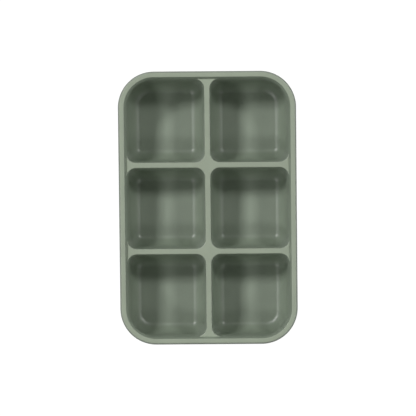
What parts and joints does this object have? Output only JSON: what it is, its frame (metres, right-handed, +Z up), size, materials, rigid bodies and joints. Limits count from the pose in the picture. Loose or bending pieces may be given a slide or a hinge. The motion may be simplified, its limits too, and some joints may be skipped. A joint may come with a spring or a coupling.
{
  "type": "silicone food tray",
  "caption": "Rectangular silicone tray for baby food portions, with rounded-square cups between low dividers, a raised rim and cup floors that push up to free a frozen portion.",
  "frame": {"origin": "centre of the tray's footprint, on the surface it stands on", "axes": "+X along the tray's width, +Y along its length, +Z up out of the cups"},
  "size_m": [0.12, 0.184, 0.041],
  "materials": {
    "silicone_body": "satin",
    "silicone_floor": "satin"
  },
  "bodies": {
    "tray": {"raised_rim": "silicone_body", "deck": "silicone_body", "cup_wall_back_left": "silicone_body", "cup_wall_back_right": "silicone_body", "cup_wall_middle_left": "silicone_body", "cup_wall_middle_right": "silicone_body", "cup_wall_front_left": "silicone_body", "cup_wall_front_right": "silicone_body"},
    "floor_back_left": {"floor_panel_back_left": "silicone_floor"},
    "floor_back_right": {"floor_panel_back_right": "silicone_floor"},
    "floor_middle_left": {"floor_panel_middle_left": "silicone_floor"},
    "floor_middle_right": {"floor_panel_middle_right": "silicone_floor"},
    "floor_front_left": {"floor_panel_front_left": "silicone_floor"},
    "floor_front_right": {"floor_panel_front_right": "silicone_floor"}
  },
  "joints": [
    {"name": "push_out_back_left", "type": "slide", "parent": "tray", "child": "floor_back_left", "axis": [0, 0, 1], "range_m": [0, 0.01], "stiffness_N_per_m": 1200},
    {"name": "push_out_back_right", "type": "slide", "parent": "tray", "child": "floor_back_right", "axis": [0, 0, 1], "range_m": [0, 0.01], "stiffness_N_per_m": 1200},
    {"name": "push_out_middle_left", "type": "slide", "parent": "tray", "child": "floor_middle_left", "axis": [0, 0, 1], "range_m": [0, 0.01], "stiffness_N_per_m": 1200},
    {"name": "push_out_middle_right", "type": "slide", "parent": "tray", "child": "floor_middle_right", "axis": [0, 0, 1], "range_m": [0, 0.01], "stiffness_N_per_m": 1200},
    {"name": "push_out_front_left", "type": "slide", "parent": "tray", "child": "floor_front_left", "axis": [0, 0, 1], "range_m": [0, 0.01], "stiffness_N_per_m": 1200},
    {"name": "push_out_front_right", "type": "slide", "parent": "tray", "child": "floor_front_right", "axis": [0, 0, 1], "range_m": [0, 0.01], "stiffness_N_per_m": 1200}
  ]
}
